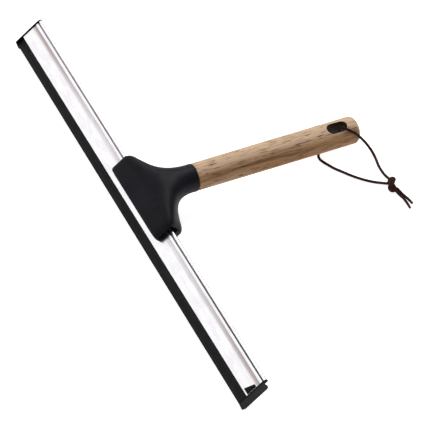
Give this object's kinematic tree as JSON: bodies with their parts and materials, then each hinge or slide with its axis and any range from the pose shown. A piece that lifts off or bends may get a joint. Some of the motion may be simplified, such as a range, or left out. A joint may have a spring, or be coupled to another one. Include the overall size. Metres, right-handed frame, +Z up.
{
  "type": "window cleaning squeegee",
  "caption": "Window cleaning squeegee: long bright channel with a black rubber blade, black T-shaped head, round oak handle with a slotted hole and a knotted brown hanging cord.",
  "frame": {"origin": "middle of the object's footprint on the table, without the cord", "axes": "+X along the blade towards the end with the lock clip, +Y along the table from the blade to the handle's end, +Z up"},
  "size_m": [0.4026, 0.2047, 0.0357],
  "materials": {
    "polished_aluminium": "polished, bright",
    "blade_rubber": "smooth matt black rubber",
    "cap_plastic": "black moulded plastic",
    "head_plastic": "fine matt black moulded plastic",
    "screw_steel": "zinc plated",
    "oak": "oiled, open grain",
    "cord_leather": "round dark brown leather cord"
  },
  "bodies": {
    "holder": {"aluminium_channel": "polished_aluminium", "rubber_lock_clip": "cap_plastic", "head_body": "head_plastic", "head_clamp_cover": "head_plastic", "cover_screws": "screw_steel", "handle_screw": "screw_steel", "wooden_handle": "oak", "cord_upper_strand": "cord_leather", "cord_lower_strand": "cord_leather", "cord_tail_long": "cord_leather", "cord_tail_short": "cord_leather", "cord_knot": "cord_leather"},
    "blade_insert": {"rubber_blade": "blade_rubber", "right_end_cap": "cap_plastic"},
    "left_cap": {"left_end_cap": "cap_plastic"}
  },
  "joints": [
    {"name": "rubber_slide", "type": "slide", "parent": "holder", "child": "blade_insert", "axis": [1, 0, 0], "range_m": [0, 0.36]},
    {"name": "left_cap_pull", "type": "slide", "parent": "holder", "child": "left_cap", "axis": [-1, 0, 0], "range_m": [0, 0.012]}
  ]
}
